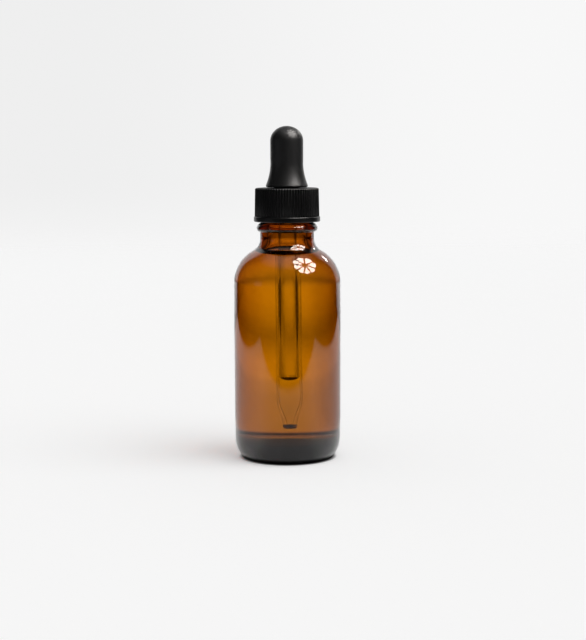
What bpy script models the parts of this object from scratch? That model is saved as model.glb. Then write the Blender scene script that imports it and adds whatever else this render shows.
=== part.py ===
"""Amber dropper bottle.

A round shouldered glass bottle with a screw finish, a ribbed screw cap, a rubber bulb
that the cap clamps onto the bottle's lip, and a glass pipette held in the bulb.
Lengths are in metres. The origin is the middle of the base on the table, with +Z up.
"""

import math

import bmesh
import bpy

# Clearance between two pieces that touch on the real object
FIT_GAP = 0.0003
# How far a joined shape runs into the solid that carries it
OVERRUN = 0.0005
# Points of one mesh closer than this are one point
WELD_DISTANCE = 0.000001

# Bottle body
BODY_RADIUS = 0.0194
BODY_STRAIGHT_TOP = 0.0636
GLASS_WALL = 0.0022
SHOULDER_RADIUS = 0.0138
HEEL_REACH = 0.0039
HEEL_HEIGHT = 0.0080
INNER_HEEL_RADIUS = 0.0020
FOOT_RING_WIDTH = 0.0025
PUSH_UP_HEIGHT = 0.0015
BASE_THICKNESS = 0.0065
FLOOR_CROWN = 0.0008

# Bottle neck and finish
NECK_RADIUS = 0.0097
NECK_FILLET = 0.0052
NECK_HEIGHT = 0.00226
NECK_WALL = 0.0028
# The wall starts to thicken towards the neck at this angle up the shoulder
WALL_GROWTH_START_DEG = 20.0
TRANSFER_BEAD_DEPTH = 0.0013
TRANSFER_BEAD_UNDERSIDE = 0.0013
TRANSFER_BEAD_SLOPE = 0.0021
FINISH_RADIUS = 0.00885
FINISH_BORE_RADIUS = 0.0063
LIP_ROUND = 0.0005

# Screw thread, single start and right-handed, with one turn of engagement
THREAD_PITCH = 0.003175
THREAD_DEPTH = 0.00105
THREAD_HALF_WIDTH = 0.0009
THREAD_DROP = 0.0019
THREAD_LEAD_IN = 0.00035
BOTTLE_THREAD_TURNS = 1.05
CAP_THREAD_TURNS = 1.0
THREAD_FADE_TURNS = 0.08
# Height on the flank and half width there, from the wall to the crest
THREAD_FLANK_SHARES = ((0.0, 1.0), (0.7, 0.5), (1.0, 0.22))

# Screw cap
SKIRT_GAP = 0.0003
CAP_WALL = 0.0011
CAP_PLATE = 0.0018
CAP_EDGE_ROUND = 0.0004
CAP_BEAD_HEIGHT = 0.0019
CAP_BEAD_STEP = 0.0007
CAP_BEAD_ROUND = 0.0003
CAP_MOUTH_CHAMFER = 0.0003
RIB_COUNT = 72
RIB_HEIGHT = 0.0003
RIB_BASE_WIDTH = 0.00058
RIB_CREST_WIDTH = 0.00030

# Rubber bulb
BULB_RADIUS = 0.00594
BULB_WAIST_RADIUS = 0.00590
BULB_BASE_RADIUS = 0.0076
BULB_WALL = 0.0015
BULB_FLARE_HEIGHT = 0.0086
BULB_FLARE_POWER = 1.9
BULB_LIP_ROUND = 0.0005
BULB_LIP_END_DEG = 25.0
BULB_BARREL_HEIGHT = 0.0080
BULB_SWELL_HEIGHT = 0.0022
BULB_DOME_HEIGHT = 0.0053
BULB_NECK_RADIUS = 0.0050
BULB_FLANGE_RADIUS = 0.0088
BULB_FLANGE_THICKNESS = 0.0018
BULB_GRIP_HEIGHT = 0.0070
BULB_FUNNEL_HEIGHT = 0.0010

# Glass pipette
PIPETTE_RADIUS = 0.0035
PIPETTE_WALL = 0.00075
PIPETTE_TIP_RADIUS = 0.0019
PIPETTE_TIP_BORE_RADIUS = 0.0007
PIPETTE_TAPER_LENGTH = 0.0110
PIPETTE_TIP_HEIGHT = 0.0111
PIPETTE_STAND_UP = 0.0023
PIPETTE_EDGE_ROUND = 0.0003

# Facets round each turned piece, and on each kind of arc
BOTTLE_SEGMENTS = 44
BULB_SEGMENTS = 36
PIPETTE_SEGMENTS = 28
THREAD_STEPS_PER_TURN = 44
SMALL_ARC_STEPS = 2
ARC_STEPS = 4
LARGE_ARC_STEPS = 8
SHARP_ANGLE_DEG = 32.0

# Places that follow from the sizes above
INNER_RADIUS = BODY_RADIUS - GLASS_WALL
SHOULDER_CENTRE_RADIUS = BODY_RADIUS - SHOULDER_RADIUS
FILLET_CENTRE_RADIUS = NECK_RADIUS + NECK_FILLET
FILLET_RISE = math.sqrt(
    (SHOULDER_RADIUS + NECK_FILLET) ** 2 - (FILLET_CENTRE_RADIUS - SHOULDER_CENTRE_RADIUS) ** 2
)
NECK_ROOT_Z = BODY_STRAIGHT_TOP + FILLET_RISE
SHOULDER_END_DEG = math.degrees(math.atan2(FILLET_RISE, FILLET_CENTRE_RADIUS - SHOULDER_CENTRE_RADIUS))
BEAD_BOTTOM_Z = NECK_ROOT_Z + NECK_HEIGHT
BEAD_MIDDLE_Z = BEAD_BOTTOM_Z + TRANSFER_BEAD_UNDERSIDE
BEAD_TOP_Z = BEAD_MIDDLE_Z + TRANSFER_BEAD_SLOPE
SKIRT_BOTTOM_Z = BEAD_TOP_Z + SKIRT_GAP
CAP_THREAD_END_Z = SKIRT_BOTTOM_Z + THREAD_LEAD_IN + THREAD_HALF_WIDTH
CAP_THREAD_START_Z = CAP_THREAD_END_Z + CAP_THREAD_TURNS * THREAD_PITCH
BOTTLE_THREAD_START_Z = CAP_THREAD_START_Z + THREAD_PITCH / 2
LIP_Z = BOTTLE_THREAD_START_Z + THREAD_DROP
THREAD_CREST_RADIUS = FINISH_RADIUS + THREAD_DEPTH
CAP_BORE_RADIUS = THREAD_CREST_RADIUS + FIT_GAP
CAP_ROOT_RADIUS = CAP_BORE_RADIUS + CAP_WALL
FLANGE_BOTTOM_Z = LIP_Z + FIT_GAP
FLANGE_TOP_Z = FLANGE_BOTTOM_Z + BULB_FLANGE_THICKNESS
PLATE_BOTTOM_Z = FLANGE_TOP_Z + FIT_GAP
CAP_TOP_Z = PLATE_BOTTOM_Z + CAP_PLATE
CAP_HOLE_RADIUS = BULB_NECK_RADIUS + FIT_GAP
BULB_BASE_Z = CAP_TOP_Z + FIT_GAP
BULB_WAIST_Z = BULB_BASE_Z + BULB_FLARE_HEIGHT
BULB_GRIP_TOP_Z = FLANGE_BOTTOM_Z + BULB_GRIP_HEIGHT
DOME_BOTTOM_Z = BULB_WAIST_Z + FIT_GAP
DOME_SPRING_Z = BULB_WAIST_Z + BULB_BARREL_HEIGHT
PIPETTE_TOP_Z = BULB_GRIP_TOP_Z + PIPETTE_STAND_UP


def clear_scene():
    """Remove every object that the file starts with."""
    for obj in list(bpy.data.objects):
        bpy.data.objects.remove(obj, do_unlink=True)


def make_material(name, colour, roughness, transmission=0.0, ior=1.5):
    """A Principled surface with the piece's own colour and gloss."""
    material = bpy.data.materials.new(name)
    material.use_nodes = True
    surface = material.node_tree.nodes["Principled BSDF"]
    surface.inputs["Base Color"].default_value = (*colour, 1.0)
    surface.inputs["Roughness"].default_value = roughness
    surface.inputs["Metallic"].default_value = 0.0
    surface.inputs["Transmission Weight"].default_value = transmission
    surface.inputs["IOR"].default_value = ior
    material.diffuse_color = (*colour, 1.0)
    return material


def oval_arc(centre_radius, centre_z, reach, height, start_deg, end_deg, steps):
    """Points (radius, z) of an elliptical arc, both ends included; 0 degrees points outwards."""
    points = []
    for step in range(steps + 1):
        angle = math.radians(start_deg + (end_deg - start_deg) * step / steps)
        points.append((centre_radius + reach * math.cos(angle), centre_z + height * math.sin(angle)))
    return points


def arc(centre_radius, centre_z, radius, start_deg, end_deg, steps):
    """Points (radius, z) of a circular arc, both ends included; 0 degrees points outwards."""
    return oval_arc(centre_radius, centre_z, radius, radius, start_deg, end_deg, steps)


def quarter_ellipse(radius, base_z, height, steps, downwards=False):
    """Points from the rim of a dome to its pole, or back down from the pole to the rim."""
    points = []
    for step in range(steps + 1):
        angle = math.radians(90.0 * step / steps)
        points.append((radius * math.cos(angle), base_z + height * math.sin(angle)))
    points[-1] = (0.0, base_z + height)
    return points[::-1] if downwards else points


def finish_mesh(name, bm, material):
    """Turn a bmesh into a named object with smooth round faces and crisp edges."""
    bmesh.ops.recalc_face_normals(bm, faces=bm.faces)
    mesh = bpy.data.meshes.new(name)
    bm.to_mesh(mesh)
    bm.free()
    mesh.shade_smooth()
    mesh.set_sharp_from_angle(angle=math.radians(SHARP_ANGLE_DEG))
    mesh.materials.append(material)
    obj = bpy.data.objects.new(name, mesh)
    bpy.context.scene.collection.objects.link(obj)
    return obj


def turn(name, outline, segments, material, closed):
    """Spin an outline of (radius, z) points about Z; a closed outline makes a tube."""
    bm = bmesh.new()
    verts = [bm.verts.new((radius, 0.0, z)) for radius, z in outline]
    edges = [bm.edges.new(pair) for pair in zip(verts, verts[1:])]
    if closed:
        edges.append(bm.edges.new((verts[-1], verts[0])))
    bmesh.ops.spin(
        bm,
        geom=verts + edges,
        cent=(0.0, 0.0, 0.0),
        axis=(0.0, 0.0, 1.0),
        angle=math.tau,
        steps=segments,
        use_merge=True,
    )
    bmesh.ops.remove_doubles(bm, verts=bm.verts, dist=WELD_DISTANCE)
    return finish_mesh(name, bm, material)


def thread_section(height_factor, inwards):
    """Cross-section of a thread ridge as (radial, axial) offsets from the wall it stands on."""
    side = -1.0 if inwards else 1.0
    # A faded end sinks just under the wall, so the ridge runs out smoothly
    sunk = OVERRUN / 2
    lower = [(-side * OVERRUN, -THREAD_HALF_WIDTH)]
    for height_share, width_share in THREAD_FLANK_SHARES:
        height = (THREAD_DEPTH + sunk) * height_share * height_factor - sunk * (1.0 - height_factor)
        lower.append((side * height, -THREAD_HALF_WIDTH * width_share))
    upper = [(radial, -axial) for radial, axial in reversed(lower)]
    return lower + upper


def thread_ridge(name, wall_radius, start_z, turns, inwards, material):
    """A right-handed helical ridge that starts at start_z and winds down; both ends fade out."""
    steps = round(turns * THREAD_STEPS_PER_TURN)
    bm = bmesh.new()
    rings = []
    for step in range(steps + 1):
        at_turn = turns * step / steps
        from_end = min(at_turn, turns - at_turn)
        factor = min(1.0, from_end / THREAD_FADE_TURNS)
        angle = -math.tau * at_turn
        centre_z = start_z - THREAD_PITCH * at_turn
        ring = []
        for radial, axial in thread_section(factor, inwards):
            radius = wall_radius + radial
            place = (radius * math.cos(angle), radius * math.sin(angle), centre_z + axial)
            ring.append(bm.verts.new(place))
        rings.append(ring)
    for ring, following in zip(rings, rings[1:]):
        for corner in range(len(ring)):
            after = (corner + 1) % len(ring)
            bm.faces.new((ring[corner], ring[after], following[after], following[corner]))
    bm.faces.new(rings[0])
    bm.faces.new(rings[-1])
    return finish_mesh(name, bm, material)


def join_with(target, tool):
    """Fuse the tool into the target, and keep the tool as a hidden guide."""
    fuse = target.modifiers.new(tool.name, "BOOLEAN")
    fuse.operation = "UNION"
    fuse.solver = "EXACT"
    fuse.object = tool
    tool.hide_render = True
    tool.display_type = "WIRE"


def inner_shoulder_outline():
    """The inside of the shoulder, from the neck's root down; the wall thickens towards the neck."""
    points = []
    for step in range(LARGE_ARC_STEPS + 1):
        degrees = SHOULDER_END_DEG * (1.0 - step / LARGE_ARC_STEPS)
        share = (degrees - WALL_GROWTH_START_DEG) / (SHOULDER_END_DEG - WALL_GROWTH_START_DEG)
        share = max(0.0, share)
        growth = (NECK_WALL - GLASS_WALL) * share * share * (3.0 - 2.0 * share)
        reach = SHOULDER_RADIUS - GLASS_WALL - growth
        angle = math.radians(degrees)
        points.append((
            SHOULDER_CENTRE_RADIUS + reach * math.cos(angle),
            BODY_STRAIGHT_TOP + reach * math.sin(angle),
        ))
    return points


def bottle_outline():
    """The glass from the middle of its underside, up the outside and down the inside."""
    foot_outer = BODY_RADIUS - HEEL_REACH
    foot_inner = foot_outer - FOOT_RING_WIDTH
    dome_radius = (foot_inner ** 2 + PUSH_UP_HEIGHT ** 2) / (2 * PUSH_UP_HEIGHT)
    dome_half_deg = math.degrees(math.asin(foot_inner / dome_radius))
    push_up = arc(0.0, PUSH_UP_HEIGHT - dome_radius, dome_radius, 90.0, 90.0 - dome_half_deg, ARC_STEPS)
    push_up[0] = (0.0, PUSH_UP_HEIGHT)
    push_up[-1] = (foot_inner, 0.0)
    heel = oval_arc(foot_outer, HEEL_HEIGHT, HEEL_REACH, HEEL_HEIGHT, -90.0, 0.0, ARC_STEPS)
    shoulder = arc(
        SHOULDER_CENTRE_RADIUS, BODY_STRAIGHT_TOP, SHOULDER_RADIUS, 0.0, SHOULDER_END_DEG, LARGE_ARC_STEPS
    )
    neck_root = arc(
        FILLET_CENTRE_RADIUS, NECK_ROOT_Z, NECK_FILLET, SHOULDER_END_DEG + 180.0, 180.0, ARC_STEPS
    )[1:]
    lip = arc(FINISH_RADIUS - LIP_ROUND, LIP_Z - LIP_ROUND, LIP_ROUND, 0.0, 90.0, SMALL_ARC_STEPS)
    mouth = arc(FINISH_BORE_RADIUS + LIP_ROUND, LIP_Z - LIP_ROUND, LIP_ROUND, 90.0, 180.0, SMALL_ARC_STEPS)
    neck_bore = [(FINISH_BORE_RADIUS, BEAD_TOP_Z), (NECK_RADIUS - NECK_WALL, BEAD_BOTTOM_Z)]
    inner_root = arc(
        FILLET_CENTRE_RADIUS, NECK_ROOT_Z, NECK_FILLET + NECK_WALL,
        180.0, SHOULDER_END_DEG + 180.0, ARC_STEPS,
    )
    inner_shoulder = inner_shoulder_outline()[1:]
    inner_heel = arc(
        INNER_RADIUS - INNER_HEEL_RADIUS, BASE_THICKNESS + INNER_HEEL_RADIUS, INNER_HEEL_RADIUS,
        0.0, -90.0, ARC_STEPS,
    )
    floor = [(0.0, BASE_THICKNESS + FLOOR_CROWN)]
    return (
        push_up + heel + shoulder + neck_root + transfer_bead() + lip
        + mouth + neck_bore + inner_root + inner_shoulder + inner_heel + floor
    )


def transfer_bead():
    """The round collar under the cap: it swells from the neck and slopes up to the finish."""
    underside = oval_arc(
        NECK_RADIUS, BEAD_MIDDLE_Z, TRANSFER_BEAD_DEPTH, TRANSFER_BEAD_UNDERSIDE, -90.0, 0.0, ARC_STEPS
    )
    slope_reach = NECK_RADIUS + TRANSFER_BEAD_DEPTH - FINISH_RADIUS
    slope = oval_arc(FINISH_RADIUS, BEAD_MIDDLE_Z, slope_reach, TRANSFER_BEAD_SLOPE, 0.0, 90.0, ARC_STEPS)
    return underside + slope[1:]


def make_bottle(material):
    """The bottle in one piece of glass, with its screw thread."""
    bottle = turn("bottle", bottle_outline(), BOTTLE_SEGMENTS, material, closed=False)
    ridge = thread_ridge(
        "bottle_thread_guide", FINISH_RADIUS, BOTTLE_THREAD_START_Z, BOTTLE_THREAD_TURNS, False, material
    )
    join_with(bottle, ridge)
    return bottle


def cap_outline():
    """The cap's wall and top plate, without its ribs and thread."""
    bead_radius = CAP_ROOT_RADIUS + CAP_BEAD_STEP
    bead_top = SKIRT_BOTTOM_Z + CAP_BEAD_HEIGHT
    bead_foot = arc(
        bead_radius - CAP_BEAD_ROUND, SKIRT_BOTTOM_Z + CAP_BEAD_ROUND, CAP_BEAD_ROUND,
        -90.0, 0.0, SMALL_ARC_STEPS,
    )
    bead_shoulder = arc(
        bead_radius - CAP_BEAD_ROUND, bead_top - CAP_BEAD_ROUND, CAP_BEAD_ROUND,
        0.0, 90.0, SMALL_ARC_STEPS,
    )
    wall_foot = [(CAP_ROOT_RADIUS, bead_top)]
    top_edge = arc(
        CAP_ROOT_RADIUS - CAP_EDGE_ROUND, CAP_TOP_Z - CAP_EDGE_ROUND, CAP_EDGE_ROUND,
        0.0, 90.0, SMALL_ARC_STEPS,
    )
    hole = [(CAP_HOLE_RADIUS, CAP_TOP_Z), (CAP_HOLE_RADIUS, PLATE_BOTTOM_Z)]
    mouth = [
        (CAP_BORE_RADIUS, PLATE_BOTTOM_Z),
        (CAP_BORE_RADIUS, SKIRT_BOTTOM_Z + CAP_MOUTH_CHAMFER),
        (CAP_BORE_RADIUS + CAP_MOUTH_CHAMFER, SKIRT_BOTTOM_Z),
    ]
    return bead_foot + bead_shoulder + wall_foot + top_edge + hole + mouth


def cap_ribs(material):
    """The grip ribs round the cap, one straight bar each, standing on the flats of the wall."""
    bottom = SKIRT_BOTTOM_Z + CAP_BEAD_HEIGHT - OVERRUN
    top = CAP_TOP_Z - CAP_EDGE_ROUND / 2
    crest_top = CAP_TOP_Z - CAP_EDGE_ROUND
    root = CAP_ROOT_RADIUS - OVERRUN
    crest = CAP_ROOT_RADIUS + RIB_HEIGHT
    bm = bmesh.new()
    for rib in range(RIB_COUNT):
        angle = math.tau * (rib + 0.5) / RIB_COUNT
        out = (math.cos(angle), math.sin(angle))
        across = (-out[1], out[0])
        corners = []
        for z_root, z_crest in ((bottom, bottom), (top, crest_top)):
            for radius, half, z in (
                (root, -RIB_BASE_WIDTH / 2, z_root),
                (crest, -RIB_CREST_WIDTH / 2, z_crest),
                (crest, RIB_CREST_WIDTH / 2, z_crest),
                (root, RIB_BASE_WIDTH / 2, z_root),
            ):
                place = (radius * out[0] + half * across[0], radius * out[1] + half * across[1], z)
                corners.append(bm.verts.new(place))
        low, high = corners[:4], corners[4:]
        bm.faces.new(low)
        bm.faces.new(high)
        for corner in range(4):
            after = (corner + 1) % 4
            bm.faces.new((low[corner], low[after], high[after], high[corner]))
    return finish_mesh("cap_ribs_guide", bm, material)


def make_cap(material):
    """The screw cap, with a hole in its top plate for the bulb's neck."""
    cap = turn("screw_cap", cap_outline(), RIB_COUNT, material, closed=True)
    join_with(cap, cap_ribs(material))
    ridge = thread_ridge(
        "cap_thread_guide", CAP_BORE_RADIUS, CAP_THREAD_START_Z, CAP_THREAD_TURNS, True, material
    )
    join_with(cap, ridge)
    return cap


def bulb_base_outline():
    """The bulb's clamped foot: sealing flange, neck through the cap, and the flare above it."""
    bore = PIPETTE_RADIUS + FIT_GAP
    flange = [
        (bore, FLANGE_BOTTOM_Z),
        (BULB_FLANGE_RADIUS, FLANGE_BOTTOM_Z),
        (BULB_FLANGE_RADIUS, FLANGE_TOP_Z),
        (BULB_NECK_RADIUS, FLANGE_TOP_Z),
        (BULB_NECK_RADIUS, BULB_BASE_Z),
    ]
    lip = arc(
        BULB_BASE_RADIUS - BULB_LIP_ROUND, BULB_BASE_Z + BULB_LIP_ROUND, BULB_LIP_ROUND,
        -90.0, BULB_LIP_END_DEG, ARC_STEPS,
    )
    flare = []
    for step in range(1, LARGE_ARC_STEPS + 1):
        # The flare starts straight down from the waist and spreads towards the lip
        way_down = 1.0 - step / LARGE_ARC_STEPS
        spread = (lip[-1][0] - BULB_WAIST_RADIUS) * way_down ** BULB_FLARE_POWER
        flare.append((BULB_WAIST_RADIUS + spread, BULB_WAIST_Z - (BULB_WAIST_Z - lip[-1][1]) * way_down))
    chamber = BULB_WAIST_RADIUS - BULB_WALL
    inside = [
        (chamber, BULB_WAIST_Z),
        (chamber, BULB_GRIP_TOP_Z + BULB_FUNNEL_HEIGHT),
        (bore, BULB_GRIP_TOP_Z),
    ]
    return flange + lip + flare + inside


def bulb_dome_outline():
    """The squeezed part of the bulb, from its pole down the outside and up the inside."""
    swell_z = BULB_WAIST_Z + BULB_SWELL_HEIGHT
    outer = quarter_ellipse(BULB_RADIUS, DOME_SPRING_Z, BULB_DOME_HEIGHT, LARGE_ARC_STEPS, downwards=True)
    outer_barrel = [(BULB_RADIUS, swell_z), (BULB_WAIST_RADIUS, DOME_BOTTOM_Z)]
    inner_barrel = [(radius - BULB_WALL, z) for radius, z in reversed(outer_barrel)]
    inner = quarter_ellipse(
        BULB_RADIUS - BULB_WALL, DOME_SPRING_Z, BULB_DOME_HEIGHT - BULB_WALL, LARGE_ARC_STEPS
    )
    return outer + outer_barrel + inner_barrel + inner


def pipette_outline():
    """A straight glass tube with fire-polished ends, drawn down to a narrow tip."""
    bore = PIPETTE_RADIUS - PIPETTE_WALL
    taper_top = PIPETTE_TIP_HEIGHT + PIPETTE_TAPER_LENGTH
    tip = arc(
        PIPETTE_TIP_RADIUS - PIPETTE_EDGE_ROUND, PIPETTE_TIP_HEIGHT + PIPETTE_EDGE_ROUND,
        PIPETTE_EDGE_ROUND, -90.0, 0.0, SMALL_ARC_STEPS,
    )
    top = arc(
        PIPETTE_RADIUS - PIPETTE_EDGE_ROUND, PIPETTE_TOP_Z - PIPETTE_EDGE_ROUND,
        PIPETTE_EDGE_ROUND, 0.0, 90.0, SMALL_ARC_STEPS,
    )
    outside = [(PIPETTE_TIP_BORE_RADIUS, PIPETTE_TIP_HEIGHT)] + tip + [(PIPETTE_RADIUS, taper_top)] + top
    inside = [(bore, PIPETTE_TOP_Z), (bore, taper_top)]
    return outside + inside


def main():
    clear_scene()
    amber_glass = make_material("amber_glass", (0.36, 0.13, 0.01), 0.03, transmission=1.0, ior=1.52)
    clear_glass = make_material("clear_glass", (0.92, 0.95, 0.94), 0.02, transmission=1.0, ior=1.50)
    black_plastic = make_material("black_polypropylene", (0.010, 0.010, 0.011), 0.38)
    black_rubber = make_material("black_rubber", (0.014, 0.014, 0.015), 0.55)
    make_bottle(amber_glass)
    make_cap(black_plastic)
    turn("bulb_base", bulb_base_outline(), BULB_SEGMENTS, black_rubber, closed=True)
    turn("bulb_dome", bulb_dome_outline(), BULB_SEGMENTS, black_rubber, closed=False)
    turn("pipette", pipette_outline(), PIPETTE_SEGMENTS, clear_glass, closed=True)


main()
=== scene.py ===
# Amber dropper bottle: its glass, liquid, cap, bulb and pipette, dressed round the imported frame.
import math

import bpy
from mathutils import Euler, Matrix, Quaternion, Vector


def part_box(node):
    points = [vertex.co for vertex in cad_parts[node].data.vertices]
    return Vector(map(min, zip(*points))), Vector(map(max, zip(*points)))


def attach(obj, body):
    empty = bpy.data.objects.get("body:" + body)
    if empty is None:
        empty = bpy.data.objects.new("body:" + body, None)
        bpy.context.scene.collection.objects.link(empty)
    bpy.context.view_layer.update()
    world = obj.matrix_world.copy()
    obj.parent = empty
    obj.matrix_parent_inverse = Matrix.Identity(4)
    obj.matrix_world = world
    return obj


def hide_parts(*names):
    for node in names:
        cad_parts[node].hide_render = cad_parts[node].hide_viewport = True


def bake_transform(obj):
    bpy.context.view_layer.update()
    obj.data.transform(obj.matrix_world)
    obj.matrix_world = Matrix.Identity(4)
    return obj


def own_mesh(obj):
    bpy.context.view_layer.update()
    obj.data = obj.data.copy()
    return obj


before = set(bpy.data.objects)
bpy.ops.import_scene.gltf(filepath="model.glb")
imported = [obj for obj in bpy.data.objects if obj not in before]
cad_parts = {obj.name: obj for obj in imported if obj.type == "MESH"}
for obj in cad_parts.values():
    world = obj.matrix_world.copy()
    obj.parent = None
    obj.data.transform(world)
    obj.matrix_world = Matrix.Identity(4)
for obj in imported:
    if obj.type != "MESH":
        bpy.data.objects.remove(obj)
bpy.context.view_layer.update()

MM = 0.001

# Sizes that the frame gives, in metres
BODY_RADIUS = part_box("bottle")[1].x
LIP_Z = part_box("bottle")[1].z
SKIRT_BOTTOM_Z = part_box("screw_cap")[0].z
CAP_TOP_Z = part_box("screw_cap")[1].z
CAP_BEAD_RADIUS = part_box("screw_cap")[1].x
FLANGE_BOTTOM_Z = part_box("bulb_base")[0].z
FLANGE_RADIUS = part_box("bulb_base")[1].x
WAIST_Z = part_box("bulb_base")[1].z
BULB_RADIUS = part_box("bulb_dome")[1].x
BULB_TOP_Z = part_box("bulb_dome")[1].z
TIP_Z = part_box("pipette")[0].z
PIPETTE_TOP_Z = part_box("pipette")[1].z
PIPETTE_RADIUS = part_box("pipette")[1].x

# Bottle glass
GLASS_WALL = 2.2 * MM
NECK_WALL = 2.8 * MM
SHOULDER_Z = 63.6 * MM
SHOULDER_RADIUS = 13.8 * MM
# The wall starts to thicken towards the neck at this angle up the shoulder
WALL_GROWTH_START_DEG = 20.0
HEEL_REACH = 3.9 * MM
HEEL_HEIGHT = 8.0 * MM
INNER_HEEL_RADIUS = 2.0 * MM
FOOT_RING_WIDTH = 2.5 * MM
PUSH_UP_HEIGHT = 1.5 * MM
BASE_THICKNESS = 6.5 * MM
FLOOR_CROWN = 0.8 * MM
NECK_RADIUS = 9.7 * MM
NECK_FILLET = 5.2 * MM
NECK_HEIGHT = 2.26 * MM
TRANSFER_BEAD_DEPTH = 1.3 * MM
TRANSFER_BEAD_UNDERSIDE = 1.3 * MM
TRANSFER_BEAD_SLOPE = 2.1 * MM
FINISH_RADIUS = 8.85 * MM
BORE_RADIUS = 6.3 * MM
LIP_ROUND = 0.5 * MM
# Blown glass is never even: its inside wanders by about this much, in long upright waves
WALL_WAVE_DEPTH = 0.14 * MM
WALL_WAVE_SIZE = 6.0 * MM
WALL_WAVE_STRETCH = 4.0
# They keep this far from the wall's ends, and are full a quarter of the way to its middle
WALL_WAVE_MARGIN = 1.0 * MM
WALL_WAVE_FADE = 4

# Screw thread
THREAD_PITCH = 3.175 * MM
THREAD_DEPTH = 1.05 * MM
THREAD_HALF_WIDTH = 0.9 * MM
THREAD_TURNS = 1.05
CAP_THREAD_TURNS = 1.0
THREAD_DROP = 1.9 * MM
THREAD_ROOTING = 0.3 * MM
THREAD_CREST_SHARE = 0.42
THREAD_CREST_ROUND = 0.22 * MM
# Its ends fade to this share, towards a place this deep in the wall
THREAD_END_SHARE = 0.2
THREAD_END_ROOTING = 0.25 * MM
THREAD_STEPS_PER_TURN = 96
THREAD_FADE_STEPS = 8

# Screw cap, with the slight draft of its mould
CAP_ROOT_RADIUS = 11.3 * MM
CAP_BORE_RADIUS = 10.2 * MM
CAP_PLATE = 1.8 * MM
CAP_HOLE_RADIUS = 5.3 * MM
CAP_EDGE_ROUND = 0.4 * MM
CAP_BEAD_HEIGHT = 1.9 * MM
CAP_BEAD_ROUND = 0.3 * MM
CAP_MOUTH_CHAMFER = 0.3 * MM
CAP_DRAFT_OUT = 0.1 * MM
CAP_DRAFT_IN = 0.07 * MM
RIB_COUNT = 72
RIB_HEIGHT = 0.3 * MM
# How far each column of points stands out, from the middle of a rib to its foot
RIB_SHARES = (1.0, 0.82, 0.28)
# The plain strip between the cap's bead and its ribs
RIB_FOOT_GAP = 0.15 * MM
# The ribs' share of their height, up to so far above the start of the cap's top edge
RIB_FADE = ((0.01 * MM, 1.0), (0.19 * MM, 0.85), (0.34 * MM, 0.5))
COLUMNS_PER_RIB = 8

# Rubber bulb
BULB_WAIST_RADIUS = 5.90 * MM
BULB_BASE_RADIUS = 7.6 * MM
BULB_BASE_Z = CAP_TOP_Z + 0.3 * MM
BULB_FLARE_POWER = 1.9
BULB_LIP_ROUND = 0.5 * MM
BULB_LIP_END_DEG = 25.0
BULB_WALL = 1.5 * MM
BULB_NECK_RADIUS = 5.0 * MM
FLANGE_THICKNESS = 1.8 * MM
GRIP_TOP_Z = FLANGE_BOTTOM_Z + 7.0 * MM
FUNNEL_HEIGHT = 1.0 * MM
SWELL_Z = WAIST_Z + 2.2 * MM
DOME_HEIGHT = 5.3 * MM
GRIP_GAP = 0.3 * MM

# Pipette
PIPETTE_WALL = 0.75 * MM
TIP_RADIUS = 1.9 * MM
TIP_BORE_RADIUS = 0.7 * MM
TAPER_LENGTH = 11.0 * MM
TOP_EDGE_ROUND = 0.3 * MM
# The length of the tip's end that is drawn darker and grainy, and how far off upright the pipette
# hangs
DARK_END_LENGTH = 1.2 * MM
PIPETTE_LEAN_DEG = 0.38

# Liquid
LIQUID_Z = 73.3 * MM
WALL_MENISCUS_RISE = 2.0 * MM
WALL_MENISCUS_REACH = 1.5 * MM
TUBE_MENISCUS_RISE = 1.3 * MM
COLLAR_RADIUS = 5.3 * MM
# From this radius to the wall the surface is steep, and is painted dark there: painted shade
PAINTED_DARK_RING_RADIUS = 8.0 * MM
SLUG_TOP_Z = 28.8 * MM
SLUG_MENISCUS_RISE = 1.6 * MM
# The liquid's surface runs this far into the glass, so no film of air shows between them
WETTING = 0.03 * MM
# Its sides, which can't be seen against wet glass, stand this far off it
STAND_OFF = 0.2 * MM
TUBE_STAND_OFF = 0.06 * MM
# Under the collar the liquid's top is sunk by this much
SURFACE_RECESS = 0.2 * MM

# What tells faces apart: how far their normals point inwards, or rise, on the liquid's surface,
# the bottle's floor, the side of the liquid in the pipette and the cap's top
INWARDS = -0.01
SURFACE_RISE = 0.3
FLOOR_RISE = 0.5
SLUG_SIDE_RISE = 0.6
CAP_TOP_RISE = 0.75

# The face attribute that marks wetted glass
WET = "wet"

# Refraction
GLASS_IOR = 1.52
TUBE_IOR = 1.47
LIQUID_IOR = 1.36

# How rough the glass is in its specks of dust, and in the hazy specks of the clear pieces
DUST_ROUGHNESS = 0.22
HAZE_ROUGHNESS = 0.12

# Facets
BOTTLE_STEPS = 160
CAP_STEPS = RIB_COUNT * COLUMNS_PER_RIB
BULB_STEPS = 96
PIPETTE_STEPS = 64
SHOULDER_STEPS = 26
TAPER_STEPS = 16
WELD = 0.001 * MM
SMOOTH_DEG = 40.0

# Places that follow from the sizes
INNER_RADIUS = BODY_RADIUS - GLASS_WALL
SHOULDER_CENTRE = BODY_RADIUS - SHOULDER_RADIUS
FILLET_CENTRE = NECK_RADIUS + NECK_FILLET
FILLET_REACH = FILLET_CENTRE - SHOULDER_CENTRE
FILLET_RISE = math.sqrt((SHOULDER_RADIUS + NECK_FILLET) ** 2 - FILLET_REACH ** 2)
NECK_ROOT_Z = SHOULDER_Z + FILLET_RISE
SHOULDER_END_DEG = math.degrees(math.atan2(FILLET_RISE, FILLET_REACH))
INNER_FILLET_RADIUS = NECK_FILLET + NECK_WALL
BEAD_BOTTOM_Z = NECK_ROOT_Z + NECK_HEIGHT
BEAD_MIDDLE_Z = BEAD_BOTTOM_Z + TRANSFER_BEAD_UNDERSIDE
BEAD_TOP_Z = BEAD_MIDDLE_Z + TRANSFER_BEAD_SLOPE
THREAD_START_Z = LIP_Z - THREAD_DROP
PIPETTE_BORE_RADIUS = PIPETTE_RADIUS - PIPETTE_WALL
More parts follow.
